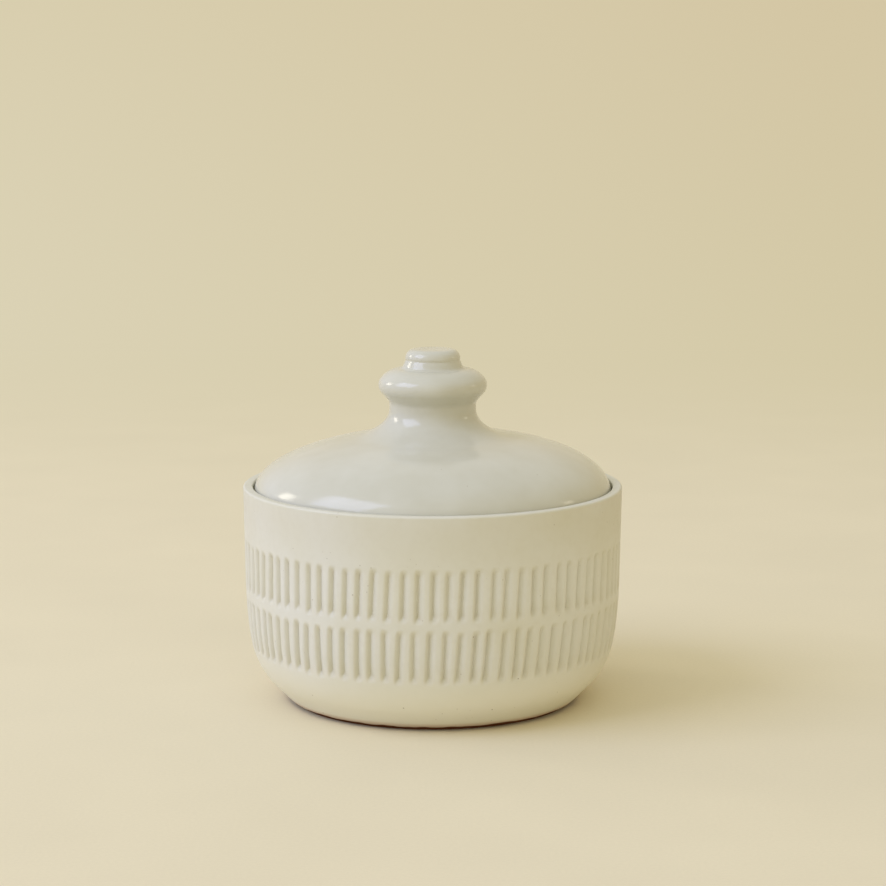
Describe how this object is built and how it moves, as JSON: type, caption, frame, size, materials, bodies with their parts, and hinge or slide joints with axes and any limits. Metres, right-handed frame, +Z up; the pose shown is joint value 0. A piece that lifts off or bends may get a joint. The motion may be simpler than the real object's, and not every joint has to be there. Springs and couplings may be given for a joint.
{
  "type": "lidded jar",
  "caption": "Round stoneware jar with two bands of pressed upright flutes and a domed lid with a turned knob that sits in the recessed rim and lifts off.",
  "frame": {"origin": "centre of the foot ring's resting face", "axes": "+Z up along the axis that the jar is turned about; -Y faces the camera of the picture; +X is to its right"},
  "size_m": [0.11, 0.11, 0.1023],
  "materials": {
    "satin_cream_glaze": "satin cream stoneware glaze with fine pinholes and specks",
    "glossy_grey_glaze": "glossy warm grey-white glaze"
  },
  "bodies": {
    "jar": {"jar_body": "satin_cream_glaze"},
    "lid": {"lid": "glossy_grey_glaze"}
  },
  "joints": [
    {"name": "lid_lift", "type": "slide", "parent": "jar", "child": "lid", "axis": [0, 0, 1], "range_m": [0, 0.08]}
  ]
}
